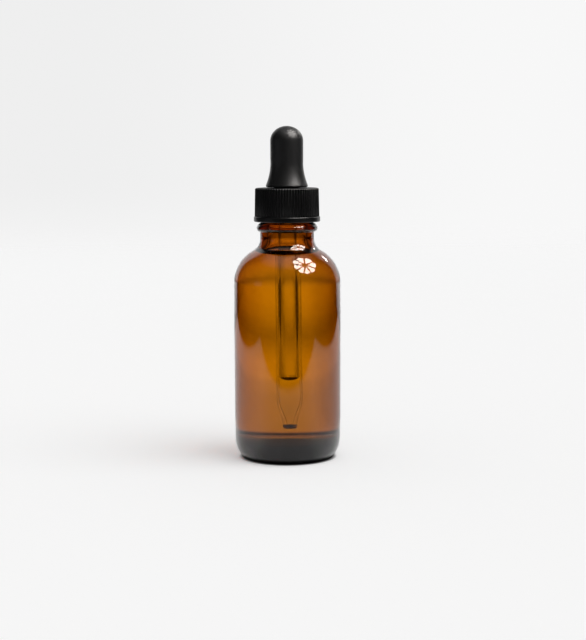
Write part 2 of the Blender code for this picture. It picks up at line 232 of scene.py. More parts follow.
TIP_ROUND = (TIP_RADIUS - TIP_BORE_RADIUS) / 2
TIP_MIDDLE = (TIP_RADIUS + TIP_BORE_RADIUS) / 2
TAPER_TOP_Z = TIP_Z + TAPER_LENGTH
SLUG_EDGE_Z = SLUG_TOP_Z + SLUG_MENISCUS_RISE
SLUG_SIDE_TOP_Z = SLUG_EDGE_Z - 0.1 * MM
# Where the liquid in the tip ends, on the inside of the tip's rounded end
MOUTH_DEG = -144.0
MOUTH_Z = TIP_Z + TIP_ROUND + TIP_ROUND * math.sin(math.radians(MOUTH_DEG))
CONTACT_Z = LIQUID_Z + WALL_MENISCUS_RISE
CONTACT_DEG = 180 + math.degrees(math.asin((NECK_ROOT_Z - CONTACT_Z) / INNER_FILLET_RADIUS))
CONTACT_RADIUS = FILLET_CENTRE + INNER_FILLET_RADIUS * math.cos(math.radians(CONTACT_DEG))


def oval(centre_r, centre_z, reach, height, start_deg, end_deg, steps):
    """Outline points (r, z) round an ellipse, both ends included; 0 degrees points outwards."""
    points = []
    for step in range(steps + 1):
        angle = math.radians(start_deg + (end_deg - start_deg) * step / steps)
        points.append((centre_r + reach * math.cos(angle), centre_z + height * math.sin(angle)))
    return points


def arc(centre_r, centre_z, radius, start_deg, end_deg, steps):
    """Outline points (r, z) round a circle, both ends included; 0 degrees points outwards."""
    return oval(centre_r, centre_z, radius, radius, start_deg, end_deg, steps)


def straight(start, end, steps):
    """Outline points between two ends, both left out."""
    return [
        (start[0] + (end[0] - start[0]) * step / steps, start[1] + (end[1] - start[1]) * step / steps)
        for step in range(1, steps)
    ]


def ease(share):
    """A soft start and end."""
    return share * share * (3 - 2 * share)


def eased(start, end, shares):
    """Outline points whose radius eases from start to end while their height runs evenly."""
    return [
        (start[0] + (end[0] - start[0]) * ease(share), start[1] + (end[1] - start[1]) * share)
        for share in shares
    ]


def inner_shoulder(inset):
    """The inside of the shoulder, from the neck's root down; the wall thickens towards the neck."""
    points = []
    growth_deg = SHOULDER_END_DEG - WALL_GROWTH_START_DEG
    for step in range(SHOULDER_STEPS + 1):
        degrees = SHOULDER_END_DEG * (1 - step / SHOULDER_STEPS)
        share = max(0, (degrees - WALL_GROWTH_START_DEG) / growth_deg)
        reach = SHOULDER_RADIUS - GLASS_WALL - (NECK_WALL - GLASS_WALL) * ease(share) - inset
        angle = math.radians(degrees)
        place = (SHOULDER_CENTRE + reach * math.cos(angle), SHOULDER_Z + reach * math.sin(angle))
        points.append(place)
    return points


def deselect():
    bpy.ops.object.select_all(action="DESELECT")


def choose(piece):
    """Makes the piece the active one, and the only one that is selected."""
    deselect()
    bpy.context.view_layer.objects.active = piece
    piece.select_set(True)


def edit(piece):
    """Opens the piece alone in edit mode, with nothing selected."""
    choose(piece)
    bpy.ops.object.mode_set(mode="EDIT")
    bpy.ops.mesh.select_mode(type="VERT")
    bpy.ops.mesh.select_all(action="DESELECT")


def pick(piece, wanted):
    """Selects the points of the open piece that wanted(point) is true for."""
    bpy.ops.mesh.select_all(action="DESELECT")
    bpy.ops.object.mode_set(mode="OBJECT")
    for vertex in piece.data.vertices:
        vertex.select = wanted(vertex.co)
    bpy.ops.object.mode_set(mode="EDIT")


def one_point(name, place):
    """A new piece that is a single point, selected and open in edit mode, to draw an outline from."""
    deselect()
    bpy.ops.mesh.primitive_plane_add(size=MM, location=(0, 0, 0))
    piece = bpy.context.object
    piece.name = piece.data.name = name
    bpy.ops.object.mode_set(mode="EDIT")
    bpy.ops.mesh.select_mode(type="VERT")
    bpy.ops.mesh.select_all(action="SELECT")
    bpy.ops.mesh.merge(type="CENTER")
    bpy.ops.transform.translate(value=place)
    return piece


def turned(name, outline, steps, closed=False):
    """A piece turned on the bottle's axis: its outline is drawn point by point and spun round."""
    radius, z = outline[0]
    piece = one_point(name, (radius, 0, z))
    for (old_radius, old_z), (radius, z) in zip(outline, outline[1:]):
        step = (radius - old_radius, 0, z - old_z)
        bpy.ops.mesh.extrude_vertices_move(TRANSFORM_OT_translate={"value": step})
    if closed:
        ends = (outline[0], outline[-1])
        pick(piece, lambda point: any(math.dist((point.x, point.z), end) < WELD for end in ends))
        bpy.ops.mesh.edge_face_add()
    bpy.ops.mesh.select_all(action="SELECT")
    bpy.ops.mesh.spin(steps=steps, angle=math.tau, center=(0, 0, 0), axis=(0, 0, 1))
    bpy.ops.mesh.select_all(action="SELECT")
    bpy.ops.mesh.remove_doubles(threshold=WELD)
    bpy.ops.mesh.normals_make_consistent(inside=False)
    bpy.ops.object.mode_set(mode="OBJECT")
    return piece


def apply_modifier(piece, modifier):
    choose(piece)
    bpy.ops.object.modifier_apply(modifier=modifier.name)


def smooth(piece):
    """Smooth round faces, with a crisp edge wherever the surface turns sharply."""
    choose(piece)
    bpy.ops.object.shade_smooth_by_angle(angle=math.radians(SMOOTH_DEG))
    return piece


def fuse(piece, tool):
    """Joins the tool into the piece as one skin, and removes the tool."""
    union = piece.modifiers.new("union", "BOOLEAN")
    union.operation = "UNION"
    union.solver = "EXACT"
    union.object = tool
    apply_modifier(piece, union)
    bpy.data.objects.remove(tool, do_unlink=True)


def thread_ridge(name, wall_radius, outwards, start_z, turns):
    """A helical ridge: one face, pushed round and down in small steps, with ends that fade."""
    steps = round(turns * THREAD_STEPS_PER_TURN)
    side = 1 if outwards else -1
    root = wall_radius - side * THREAD_ROOTING
    crest = wall_radius + side * THREAD_DEPTH
    deselect()
    bpy.ops.mesh.primitive_plane_add(size=1, location=(0, 0, 0), rotation=(math.pi / 2, 0, 0))
    ridge = bpy.context.object
    ridge.name = ridge.data.name = name
    bpy.ops.object.transform_apply(location=True, rotation=True, scale=True)
    bpy.ops.object.mode_set(mode="EDIT")
    bpy.ops.mesh.select_mode(type="VERT")
    bpy.ops.mesh.select_all(action="SELECT")
    size = (abs(crest - root), 1, 2 * THREAD_HALF_WIDTH)
    bpy.ops.transform.resize(value=size, center_override=(0, 0, 0))
    bpy.ops.transform.translate(value=((crest + root) / 2, 0, start_z))
    # The crest is narrower than the foot
    pick(ridge, lambda point: abs(point.x - crest) < WELD)
    bpy.ops.transform.resize(value=(1, 1, THREAD_CREST_SHARE), center_override=(crest, 0, start_z))
    bpy.ops.mesh.bevel(offset=THREAD_CREST_ROUND, segments=3, affect="VERTICES")
    bpy.ops.mesh.select_all(action="SELECT")
    bpy.ops.mesh.select_mode(type="FACE")
    shrink = THREAD_END_SHARE ** (1 / THREAD_FADE_STEPS)
    pivot = Vector((wall_radius - side * THREAD_END_ROOTING, 0, start_z))
    bpy.ops.transform.resize(value=(THREAD_END_SHARE,) * 3, center_override=pivot)
    turn = -math.tau / THREAD_STEPS_PER_TURN
    drop = -THREAD_PITCH / THREAD_STEPS_PER_TURN
    for step in range(steps):
        bpy.ops.mesh.extrude_region_move(TRANSFORM_OT_translate={"value": (0, 0, drop)})
        bpy.ops.transform.rotate(value=-turn, orient_axis="Z", center_override=(0, 0, 0))
        pivot = Matrix.Rotation(turn, 3, "Z") @ pivot + Vector((0, 0, drop))
        if step < THREAD_FADE_STEPS:
            bpy.ops.transform.resize(value=(1 / shrink,) * 3, center_override=pivot)
        elif step >= steps - THREAD_FADE_STEPS:
            bpy.ops.transform.resize(value=(shrink,) * 3, center_override=pivot)
    bpy.ops.mesh.select_all(action="SELECT")
    bpy.ops.mesh.normals_make_consistent(inside=False)
    bpy.ops.object.mode_set(mode="OBJECT")
    return ridge


def inner_floor(inset):
    """The bottle's inside from the top of its heel to its floor's middle, moved off the glass."""
    heel_r = INNER_RADIUS - INNER_HEEL_RADIUS
    heel_z = BASE_THICKNESS + INNER_HEEL_RADIUS
    heel = arc(heel_r, heel_z, INNER_HEEL_RADIUS - inset, 0, -90, 14)
    crown = FLOOR_CROWN / 2
    floor = [
        (heel_r * share, BASE_THICKNESS + inset + crown * (1 + math.cos(math.pi * share)))
        for share in (0.9, 0.8, 0.7, 0.6, 0.5, 0.4, 0.3, 0.2, 0.1, 0)
    ]
    return heel + floor


def inside_of_glass(inset):
    """The bottle's wetted inside, from the liquid's edge to the floor, moved off the glass."""
    reach = INNER_FILLET_RADIUS + inset
    root = arc(FILLET_CENTRE, NECK_ROOT_Z, reach, CONTACT_DEG, SHOULDER_END_DEG + 180, 12)
    shoulder = inner_shoulder(inset)[1:]
    wall = straight(shoulder[-1], (INNER_RADIUS - inset, BASE_THICKNESS + INNER_HEEL_RADIUS), 30)
    return root + shoulder + wall + inner_floor(inset)


def bottle_outline():
    """The glass from the middle of its underside, up the outside and down the inside."""
    foot_outer = BODY_RADIUS - HEEL_REACH
    foot_inner = foot_outer - FOOT_RING_WIDTH
    push_up_radius = (foot_inner ** 2 + PUSH_UP_HEIGHT ** 2) / (2 * PUSH_UP_HEIGHT)
    push_up_deg = math.degrees(math.asin(foot_inner / push_up_radius))
    push_up = arc(0, PUSH_UP_HEIGHT - push_up_radius, push_up_radius, 90, 90 - push_up_deg, 14)
    push_up[0] = (0, PUSH_UP_HEIGHT)
    push_up[-1] = (foot_inner, 0)
    heel = oval(foot_outer, HEEL_HEIGHT, HEEL_REACH, HEEL_HEIGHT, -90, 0, 24)
    wall = straight((BODY_RADIUS, HEEL_HEIGHT), (BODY_RADIUS, SHOULDER_Z), 30)
    shoulder = arc(SHOULDER_CENTRE, SHOULDER_Z, SHOULDER_RADIUS, 0, SHOULDER_END_DEG, 30)
    neck_root = arc(FILLET_CENTRE, NECK_ROOT_Z, NECK_FILLET, SHOULDER_END_DEG + 180, 180, 20)[1:]
    neck = straight((NECK_RADIUS, NECK_ROOT_Z), (NECK_RADIUS, BEAD_BOTTOM_Z), 3)
    underside = oval(
        NECK_RADIUS, BEAD_MIDDLE_Z, TRANSFER_BEAD_DEPTH, TRANSFER_BEAD_UNDERSIDE, -90, 0, 12
    )
    slope_reach = NECK_RADIUS + TRANSFER_BEAD_DEPTH - FINISH_RADIUS
    slope = oval(FINISH_RADIUS, BEAD_MIDDLE_Z, slope_reach, TRANSFER_BEAD_SLOPE, 0, 90, 14)[1:]
    lip = arc(FINISH_RADIUS - LIP_ROUND, LIP_Z - LIP_ROUND, LIP_ROUND, 0, 90, 6)
    mouth = arc(BORE_RADIUS + LIP_ROUND, LIP_Z - LIP_ROUND, LIP_ROUND, 90, 180, 6)
    neck_bore_radius = NECK_RADIUS - NECK_WALL
    shares = (0, 0.15, 0.3, 0.45, 0.6, 0.75, 0.9, 1)
    bore = eased((BORE_RADIUS, BEAD_TOP_Z), (neck_bore_radius, BEAD_BOTTOM_Z), shares)
    dry_root = arc(FILLET_CENTRE, NECK_ROOT_Z, INNER_FILLET_RADIUS, 180, CONTACT_DEG, 10)[:-1]
    return (
        push_up + heel + wall + shoulder + neck_root + neck + underside + slope + lip
        + mouth + bore + dry_root + inside_of_glass(0)
    )


def stretch(piece, factor):
    """Stretches the piece upwards, or flattens it."""
    edit(piece)
    bpy.ops.mesh.select_all(action="SELECT")
    bpy.ops.transform.resize(value=(1, 1, factor), center_override=(0, 0, 0))
    bpy.ops.object.mode_set(mode="OBJECT")


def wave_inner_wall(bottle):
    """Gives the inside of the wall the long soft waves of blown glass; the outside stays true."""
    group = bottle.vertex_groups.new(name="inner_wall")
    middle = (BASE_THICKNESS + SHOULDER_Z) / 2
    reach = (SHOULDER_Z - BASE_THICKNESS) / 2 - WALL_WAVE_MARGIN
    for vertex in bottle.data.vertices:
        off_wall = abs(math.hypot(vertex.co.x, vertex.co.y) - INNER_RADIUS)
        share = 1 - abs(vertex.co.z - middle) / reach
        if off_wall < WELD and share > 0:
            group.add([vertex.index], min(1, WALL_WAVE_FADE * share), "REPLACE")
    # Flattened for the moment, the even clouds come out as long upright waves
    stretch(bottle, 1 / WALL_WAVE_STRETCH)
    clouds = bpy.data.textures.new("wall_waves", "CLOUDS")
    clouds.noise_scale = WALL_WAVE_SIZE
    clouds.noise_depth = 1
    waves = bottle.modifiers.new("waves", "DISPLACE")
    waves.texture = clouds
    waves.texture_coords = "LOCAL"
    waves.vertex_group = group.name
    waves.strength = WALL_WAVE_DEPTH
    waves.mid_level = 0.5
    apply_modifier(bottle, waves)
    bpy.data.textures.remove(clouds)
    stretch(bottle, WALL_WAVE_STRETCH)


def make_bottle():
    """The bottle in one piece of glass, with its screw thread."""
    bottle = turned("amber_glass_bottle", bottle_outline(), BOTTLE_STEPS)
    wave_inner_wall(bottle)
    fuse(bottle, thread_ridge("bottle_thread", FINISH_RADIUS, True, THREAD_START_Z, THREAD_TURNS))
    return smooth(bottle)


def liquid_height(radius):
    """The height of the liquid's surface, which climbs the glass wall."""
    return LIQUID_Z + WALL_MENISCUS_RISE * math.exp((radius - CONTACT_RADIUS) / WALL_MENISCUS_REACH)


COLLAR_Z = liquid_height(COLLAR_RADIUS)
SURFACE_FLOOR_Z = COLLAR_Z - SURFACE_RECESS / 2


def is_side_of_liquid(centre, normal, outwards):
    """Whether a face is one of the liquid's sides, and not of its open surface."""
    return normal.z < SURFACE_RISE or centre.z < SURFACE_FLOOR_Z


def make_liquid():
    """The liquid in the bottle; its surface near the pipette is left to the collar piece."""
    recess_z = COLLAR_Z - SURFACE_RECESS
    top = [(0, recess_z), (COLLAR_RADIUS - SURFACE_RECESS / 10, recess_z)]
    surface_steps = 24
    for step in range(surface_steps + 1):
        # Steps grow finer towards the wall, where the surface curves up
        share = 1 - (1 - step / surface_steps) ** 2
        radius = COLLAR_RADIUS + (CONTACT_RADIUS - COLLAR_RADIUS) * share
        top.append((radius, liquid_height(radius)))
    top.append((CONTACT_RADIUS + WETTING, CONTACT_Z))
    liquid = turned("liquid", top + inside_of_glass(STAND_OFF), BOTTLE_STEPS)
    return smooth(liquid)


def pipette_end(inset):
    """The pipette's rounded end outside its mouth, moved into the glass by the given distance."""
    return arc(TIP_MIDDLE, TIP_Z + TIP_ROUND, TIP_ROUND - inset, MOUTH_DEG, 0, 16)


def taper(bottom_radius, top_radius):
    """One side of the pipette's taper, from its rounded end up to the straight tube."""
    shares = [step / TAPER_STEPS for step in range(TAPER_STEPS + 1)]
    return eased((bottom_radius, TIP_Z + TIP_ROUND), (top_radius, TAPER_TOP_Z), shares)


def make_pipette():
    """The pipette: a straight tube of clear glass, drawn down to a rounded tip."""
    end = arc(TIP_MIDDLE, TIP_Z + TIP_ROUND, TIP_ROUND, -180, MOUTH_DEG, 4)[1:-1]
    end += pipette_end(0)
    rim_centre = PIPETTE_RADIUS - TOP_EDGE_ROUND
    rim = arc(rim_centre, PIPETTE_TOP_Z - TOP_EDGE_ROUND, TOP_EDGE_ROUND, 0, 90, 6)
    outside = end + taper(TIP_RADIUS, PIPETTE_RADIUS)[1:]
    outside += straight((PIPETTE_RADIUS, TAPER_TOP_Z), rim[0], 12)
    dry = [(PIPETTE_BORE_RADIUS, PIPETTE_TOP_Z)]
    dry += straight(dry[0], (PIPETTE_BORE_RADIUS, SLUG_EDGE_Z), 10)
    wet = [(PIPETTE_BORE_RADIUS, SLUG_EDGE_Z)]
    wet += straight(wet[0], (PIPETTE_BORE_RADIUS, TAPER_TOP_Z), 4)
    outline = outside + rim + dry + wet + taper(TIP_BORE_RADIUS, PIPETTE_BORE_RADIUS)[::-1]
    pipette = turned("glass_pipette", outline, PIPETTE_STEPS, closed=True)
    return smooth(pipette)


def make_slug():
    """The liquid that stands in the pipette, with its hollow top."""
    bottom = [(0, MOUTH_Z - WETTING)]
    mouth = TIP_MIDDLE + TIP_ROUND * math.cos(math.radians(MOUTH_DEG))
    bottom += [(mouth * 0.5, MOUTH_Z - WETTING), (mouth + WETTING, MOUTH_Z - WETTING)]
    side = PIPETTE_BORE_RADIUS - TUBE_STAND_OFF
    wall = taper(TIP_BORE_RADIUS - TUBE_STAND_OFF, side)
    wall += straight((side, TAPER_TOP_Z), (side, SLUG_SIDE_TOP_Z), 8)
    touch = PIPETTE_BORE_RADIUS + WETTING
    top = [
        (touch * math.cos(angle), SLUG_TOP_Z + SLUG_MENISCUS_RISE * (1 - math.sin(angle)))
        for angle in (math.radians(90 * step / 16) for step in range(17))
    ]
    top[-1] = (0, SLUG_TOP_Z)
    slug = turned("liquid_in_pipette", bottom + wall + top, PIPETTE_STEPS)
    return smooth(slug)


def make_collar():
    """The liquid's skin round the pipette: the collar that climbs it, and the lining of its hole."""
    end = pipette_end(WETTING)
    touch = PIPETTE_RADIUS - WETTING
    lining = [(0, end[0][1])] + end + taper(TIP_RADIUS - WETTING, touch)[1:]
    touch_z = LIQUID_Z + TUBE_MENISCUS_RISE
    lining += straight((touch, TAPER_TOP_Z), (touch, touch_z), 24)
    collar = []
    steps = 14
    for step in range(steps + 1):
        away = (step / steps) ** 1.5
        radius = touch + (COLLAR_RADIUS - touch) * away
        collar.append((radius, liquid_height(radius) + TUBE_MENISCUS_RISE * (1 - away) ** 2))
    piece = turned("liquid_round_pipette", lining + collar, PIPETTE_STEPS)
    # The liquid lies outside the hole, so the skin faces the axis
    wall = next(face for face in piece.data.polygons if abs(face.normal.z) < 0.1)
    if wall.normal.dot(wall.center * Vector((1, 1, 0))) > 0:
        edit(piece)
        bpy.ops.mesh.select_all(action="SELECT")
        bpy.ops.mesh.flip_normals()
        bpy.ops.object.mode_set(mode="OBJECT")
    return smooth(piece)


def lean(piece, rim_radius=None):
    """Tips a piece very slightly about the bulb's grip, as the pipette hangs in the photograph.

    Outside the pipette the tip fades with the radius, and a rim at rim_radius stays where it is."""
    slope = math.tan(math.radians(PIPETTE_LEAN_DEG))
    for vertex in piece.data.vertices:
        share = 1.0
        if rim_radius:
            radius = math.hypot(vertex.co.x, vertex.co.y)
            share = min(1, (rim_radius - radius) / (rim_radius - PIPETTE_RADIUS))
        vertex.co.x += slope * (GRIP_TOP_Z - vertex.co.z) * share
    piece.data.update()


def cap_outline():
    """The cap's wall and top plate, without its ribs and thread."""
    bead_top = SKIRT_BOTTOM_Z + CAP_BEAD_HEIGHT
    bead_centre = CAP_BEAD_RADIUS - CAP_BEAD_ROUND
    bead = arc(bead_centre, SKIRT_BOTTOM_Z + CAP_BEAD_ROUND, CAP_BEAD_ROUND, -90, 0, 5)
    bead += arc(bead_centre, bead_top - CAP_BEAD_ROUND, CAP_BEAD_ROUND, 0, 90, 5)
    foot = CAP_ROOT_RADIUS + CAP_DRAFT_OUT
    wall = [(foot, bead_top), (foot, bead_top + RIB_FOOT_GAP)]
    edge_centre = CAP_ROOT_RADIUS - CAP_DRAFT_IN - CAP_EDGE_ROUND
    top_edge = arc(edge_centre, CAP_TOP_Z - CAP_EDGE_ROUND, CAP_EDGE_ROUND, 0, 90, 6)
    plate_bottom = CAP_TOP_Z - CAP_PLATE
    hole = [(CAP_HOLE_RADIUS, CAP_TOP_Z), (CAP_HOLE_RADIUS, plate_bottom)]
    mouth = [
        (CAP_BORE_RADIUS, plate_bottom),
        (CAP_BORE_RADIUS, SKIRT_BOTTOM_Z + CAP_MOUTH_CHAMFER),
        (CAP_BORE_RADIUS + CAP_MOUTH_CHAMFER, SKIRT_BOTTOM_Z),
    ]
    return bead + wall + top_edge + hole + mouth


def columns_off_rib(point):
    """How many columns of points lie between this point and the middle of its rib."""
    column = round(math.atan2(point.y, point.x) * CAP_STEPS / math.tau) % COLUMNS_PER_RIB
    return abs(column - COLUMNS_PER_RIB // 2)


def raise_ribs(cap):
    """Pushes columns of the cap's wall out into rounded ribs, which fade into the top edge."""
    edit(cap)
    inside_wall = (CAP_BORE_RADIUS + CAP_ROOT_RADIUS - CAP_EDGE_ROUND) / 2
    low = SKIRT_BOTTOM_Z + CAP_BEAD_HEIGHT + RIB_FOOT_GAP / 2
    for rise, fade in RIB_FADE:
        high = CAP_TOP_Z - CAP_EDGE_ROUND + rise
        for columns, rib_share in enumerate(RIB_SHARES):
            pick(cap, lambda point: (
                low < point.z <= high
                and math.hypot(point.x, point.y) > inside_wall
                and columns_off_rib(point) == columns
            ))
            factor = 1 + RIB_HEIGHT * rib_share * fade / CAP_ROOT_RADIUS
            bpy.ops.transform.resize(value=(factor, factor, 1), center_override=(0, 0, 0))
        low = high
    bpy.ops.object.mode_set(mode="OBJECT")


def make_cap():
    """The ribbed screw cap, with the hole for the bulb's neck and its inner thread."""
    cap = turned("ribbed_screw_cap", cap_outline(), CAP_STEPS, closed=True)
    raise_ribs(cap)
    start_z = THREAD_START_Z - THREAD_PITCH / 2
    fuse(cap, thread_ridge("cap_thread", CAP_BORE_RADIUS, False, start_z, CAP_THREAD_TURNS))
    return smooth(cap)


def bulb_outline():
    """The bulb as one skin: from its pole down the outside, through the cap, and up the inside."""
    spring_z = BULB_TOP_Z - DOME_HEIGHT
    dome = oval(0, spring_z, BULB_RADIUS, DOME_HEIGHT, 90, 0, 24)
    dome[0] = (0, BULB_TOP_Z)
    barrel = straight((BULB_RADIUS, spring_z), (BULB_RADIUS, SWELL_Z), 4) + [(BULB_RADIUS, SWELL_Z)]
    shares = (0.2, 0.4, 0.6, 0.8, 1)
    swell = eased((BULB_RADIUS, SWELL_Z), (BULB_WAIST_RADIUS, WAIST_Z), shares)
    lip_centre = BULB_BASE_RADIUS - BULB_LIP_ROUND
    lip = arc(lip_centre, BULB_BASE_Z + BULB_LIP_ROUND, BULB_LIP_ROUND, BULB_LIP_END_DEG, -90, 12)
    lip_end_r, lip_end_z = lip[0]
    flare = [
        (
            BULB_WAIST_RADIUS + (lip_end_r - BULB_WAIST_RADIUS) * share ** BULB_FLARE_POWER,
            WAIST_Z - (WAIST_Z - lip_end_z) * share,
        )
        for share in (step / 24 for step in range(1, 24))
    ]
    neck = [
        (BULB_NECK_RADIUS, BULB_BASE_Z),
        (BULB_NECK_RADIUS, FLANGE_BOTTOM_Z + FLANGE_THICKNESS),
        (FLANGE_RADIUS, FLANGE_BOTTOM_Z + FLANGE_THICKNESS),
        (FLANGE_RADIUS, FLANGE_BOTTOM_Z),
    ]
    grip = PIPETTE_RADIUS + GRIP_GAP
    chamber = BULB_WAIST_RADIUS - BULB_WALL
    inside = [
        (grip, FLANGE_BOTTOM_Z),
        (grip, GRIP_TOP_Z),
        (chamber, GRIP_TOP_Z + FUNNEL_HEIGHT),
        (chamber, WAIST_Z),
        (BULB_RADIUS - BULB_WALL, SWELL_Z),
    ]
    inner_dome = oval(0, spring_z, BULB_RADIUS - BULB_WALL, DOME_HEIGHT - BULB_WALL, 0, 90, 12)
    inner_dome[-1] = (0, BULB_TOP_Z - BULB_WALL)
    return dome + barrel + swell + flare + lip + neck + inside + inner_dome


def make_bulb():
    """The rubber bulb in one piece, foot and dome."""
    return smooth(turned("rubber_bulb", bulb_outline(), BULB_STEPS))


def linear(hex_colour):
    """An sRGB hex colour as linear RGBA."""
    values = [int(hex_colour[place:place + 2], 16) / 255 for place in (0, 2, 4)]
    return (*[v / 12.92 if v <= 0.04045 else ((v + 0.055) / 1.055) ** 2.4 for v in values], 1)


def add_node(tree, kind, inputs=None, **settings):
    """Adds a node with its settings. Inputs that are nodes or outputs are linked, others are set."""
    node = tree.nodes.new("ShaderNode" + kind)
    for name, value in settings.items():
        setattr(node, name, value)
    for name, value in (inputs or {}).items():
        if isinstance(value, bpy.types.Node):
            value = value.outputs[0]
        if isinstance(value, bpy.types.NodeSocket):
            tree.links.new(value, node.inputs[name])
        else:
            node.inputs[name].default_value = value
    return node


def product(tree, level, *others):
    """Several levels multiplied together."""
    for other in others:
        level = add_node(tree, "Math", {0: level, 1: other}, operation="MULTIPLY")
    return level


def ramp(tree, value, start, end):
    """A soft step from one stop (value, level) to another."""
    return add_node(tree, "MapRange", {
        "Value": value, "From Min": start[0], "From Max": end[0],
        "To Min": start[1], "To Max": end[1],
    }, interpolation_type="SMOOTHSTEP")


def profile(tree, value, stops):
    """A soft curve through stops (value, level), flat beyond the first and the last."""
    low = stops[0][0]
    high = stops[-1][0]
    peak = max(level for place, level in stops)
    share = add_node(tree, "MapRange", {"Value": value, "From Min": low, "From Max": high})
    curve = add_node(tree, "ValToRGB", {"Fac": share})
    band = curve.color_ramp
    band.interpolation = "EASE"
    for index, (place, level) in enumerate(stops):
        # The band comes with its first and last stop
        if 0 < index < len(stops) - 1:
            band.elements.new((place - low) / (high - low))
        band.elements[index].color = (level / peak, level / peak, level / peak, 1)
    return product(tree, curve, peak)


def by_ray(tree, level, levels):
    """A level of its own for each kind of ray that is named, and the first one for all others."""
    path = add_node(tree, "LightPath").outputs
    for ray, own_level in levels.items():
        level = add_node(tree, "Mix", {0: path[ray], 2: level, 3: own_level})
    return level


def azimuth_of(tree, axes):
    """The angle from straight behind the bottle, to the right, in degrees."""
    angle = add_node(tree, "Math", {0: axes["X"], 1: axes["Y"]}, operation="ARCTAN2")
    return add_node(tree, "Math", {0: angle}, operation="DEGREES")


def place_on_piece(tree):
    """The place on the piece by its axes, and its distance from the piece's middle."""
    place = add_node(tree, "TexCoord").outputs["Object"]
    axes = add_node(tree, "SeparateXYZ", {"Vector": place}).outputs
    distance = add_node(tree, "VectorMath", {0: place}, operation="LENGTH")
    return axes, distance.outputs["Value"]


def specks(tree, spacing, size):
    """Small scattered spots, 1 in a spot and 0 elsewhere."""
    place = add_node(tree, "TexCoord").outputs["Object"]
    cells = add_node(tree, "TexVoronoi", {"Vector": place, "Scale": 1 / spacing})
    spot = size / spacing / 2
    return ramp(tree, cells.outputs["Distance"], (spot, 0.0), (spot * 0.6, 1.0))


def grain(tree, size):
    """Unevenness from 0 to 1, in grains of about this size."""
    place = add_node(tree, "TexCoord").outputs["Object"]
    return add_node(tree, "TexNoise", {"Vector": place, "Scale": 1 / size}).outputs["Fac"]


def uneven(tree, size, low, high):
    """A level that wanders between two others, in grains of this size."""
    return add_node(tree, "MapRange", {"Value": grain(tree, size), "To Min": low, "To Max": high})


def two_tone(tree, share, first, second):
    """One sRGB hex colour turning to another where the share is 1."""
    colours = {0: share, 6: linear(first), 7: linear(second)}
    return add_node(tree, "Mix", colours, data_type="RGBA").outputs[2]


def new_material(name):
    """A material without nodes; returns it and its tree."""
    material = bpy.data.materials.new(name)
    material.use_nodes = True
    material.node_tree.nodes.clear()
    return material, material.node_tree


def finished(material, **shaders):
    """The material with its Surface, and a Volume inside where it has one."""
    add_node(material.node_tree, "OutputMaterial", shaders)
    return material


def amber_glass():
    """Blown soda-lime glass, coloured amber all through: thick places and edges show darker.

    Where the liquid wets it, light bends as it does between glass and liquid. A few specks of
    dust catch the light."""
    material, tree = new_material("blown_amber_soda_lime_glass")
    wet = add_node(tree, "Attribute", attribute_name=WET).outputs["Fac"]
    surface = add_node(tree, "BsdfPrincipled", {
        "Base Color": linear("FFFDF8"), "Transmission Weight": 1.0,
        "IOR": add_node(tree, "Mix", {0: wet, 2: GLASS_IOR, 3: GLASS_IOR / LIQUID_IOR}),
        "Roughness": product(tree, specks(tree, 3.2 * MM, 0.3 * MM), DUST_ROUGHNESS),
    })
    absorption = add_node(tree, "VolumeAbsorption", {"Color": linear("F2DE00"), "Density": 1600.0})
    return finished(material, Surface=surface, Volume=absorption)


def clear_body(name, colour, ior, mirror=1.0):
    """A clear thing with a polished surface: drawn tube glass, or a thin liquid.

    A few specks on it are a little hazy. Where liquid lies on glass nothing shines: mirror is 0."""
    material, tree = new_material(name)
    surface = add_node(tree, "BsdfPrincipled", {
        "Base Color": linear(colour), "IOR": ior, "Transmission Weight": 1.0,
        "Roughness": product(tree, specks(tree, 2.6 * MM, 0.25 * MM), HAZE_ROUGHNESS),
        "Specular Tint": (mirror, mirror, mirror, 1),
    })
    return finished(material, Surface=surface)


def dark_tip_end():
    """The end of the pipette's tip, drawn a grainy dark grey-brown that lets little light through."""
    material, tree = new_material("dark_end_of_tube_glass")
    surface = add_node(tree, "BsdfPrincipled", {
        "Base Color": two_tone(tree, grain(tree, 0.3 * MM), "4A3E34", "8A7864"),
        "Roughness": 0.4, "IOR": TUBE_IOR, "Transmission Weight": 0.6,
    })
    return finished(material, Surface=surface)


def painted_dark_meniscus_ring():
    """The steep edge of the liquid's surface, painted near-black: painted shade for the light it
    turns away from the eye.
    """
    material, tree = new_material("painted_dark_edge_of_liquid_surface")
    # Painted shade: near-black, letting little light through
    surface = add_node(tree, "BsdfPrincipled", {
        "Base Color": linear("0C0602"), "Roughness": uneven(tree, 1.5 * MM, 0.0, 0.12),
        "IOR": LIQUID_IOR, "Transmission Weight": 0.25,
    })
    return finished(material, Surface=surface)


def cap_plastic(name, smoothest, roughest, gloss):
    """Injection-moulded black polypropylene: satin where the mould was polished, matt on top."""
    material, tree = new_material(name)
    surface = add_node(tree, "BsdfPrincipled", {
        "Base Color": linear("070708"), "Roughness": uneven(tree, 0.35 * MM, smoothest, roughest),
        "IOR": 1.45, "Specular IOR Level": gloss,
    })
    return finished(material, Surface=surface)


def bulb_rubber():
    """Moulded black rubber, with a soft dull shine and a little paler dust."""
    material, tree = new_material("matt_black_rubber")
    surface = add_node(tree, "BsdfPrincipled", {
        "Base Color": two_tone(tree, specks(tree, 1.3 * MM, 0.3 * MM), "121213", "202021"),
        "Roughness": uneven(tree, 0.4 * MM, 0.36, 0.44), "IOR": 1.5, "Specular IOR Level": 0.5,
    })
    return finished(material, Surface=surface)


def dress(piece, material, body, slot, *nodes):
    """Gives the piece its finish and the body it moves with, and hides the CAD nodes it stands for.
    """
    piece.data.materials.clear()
    piece.data.materials.append(material)
    if body:
        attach(piece, body)
    if nodes:
        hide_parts(*nodes)


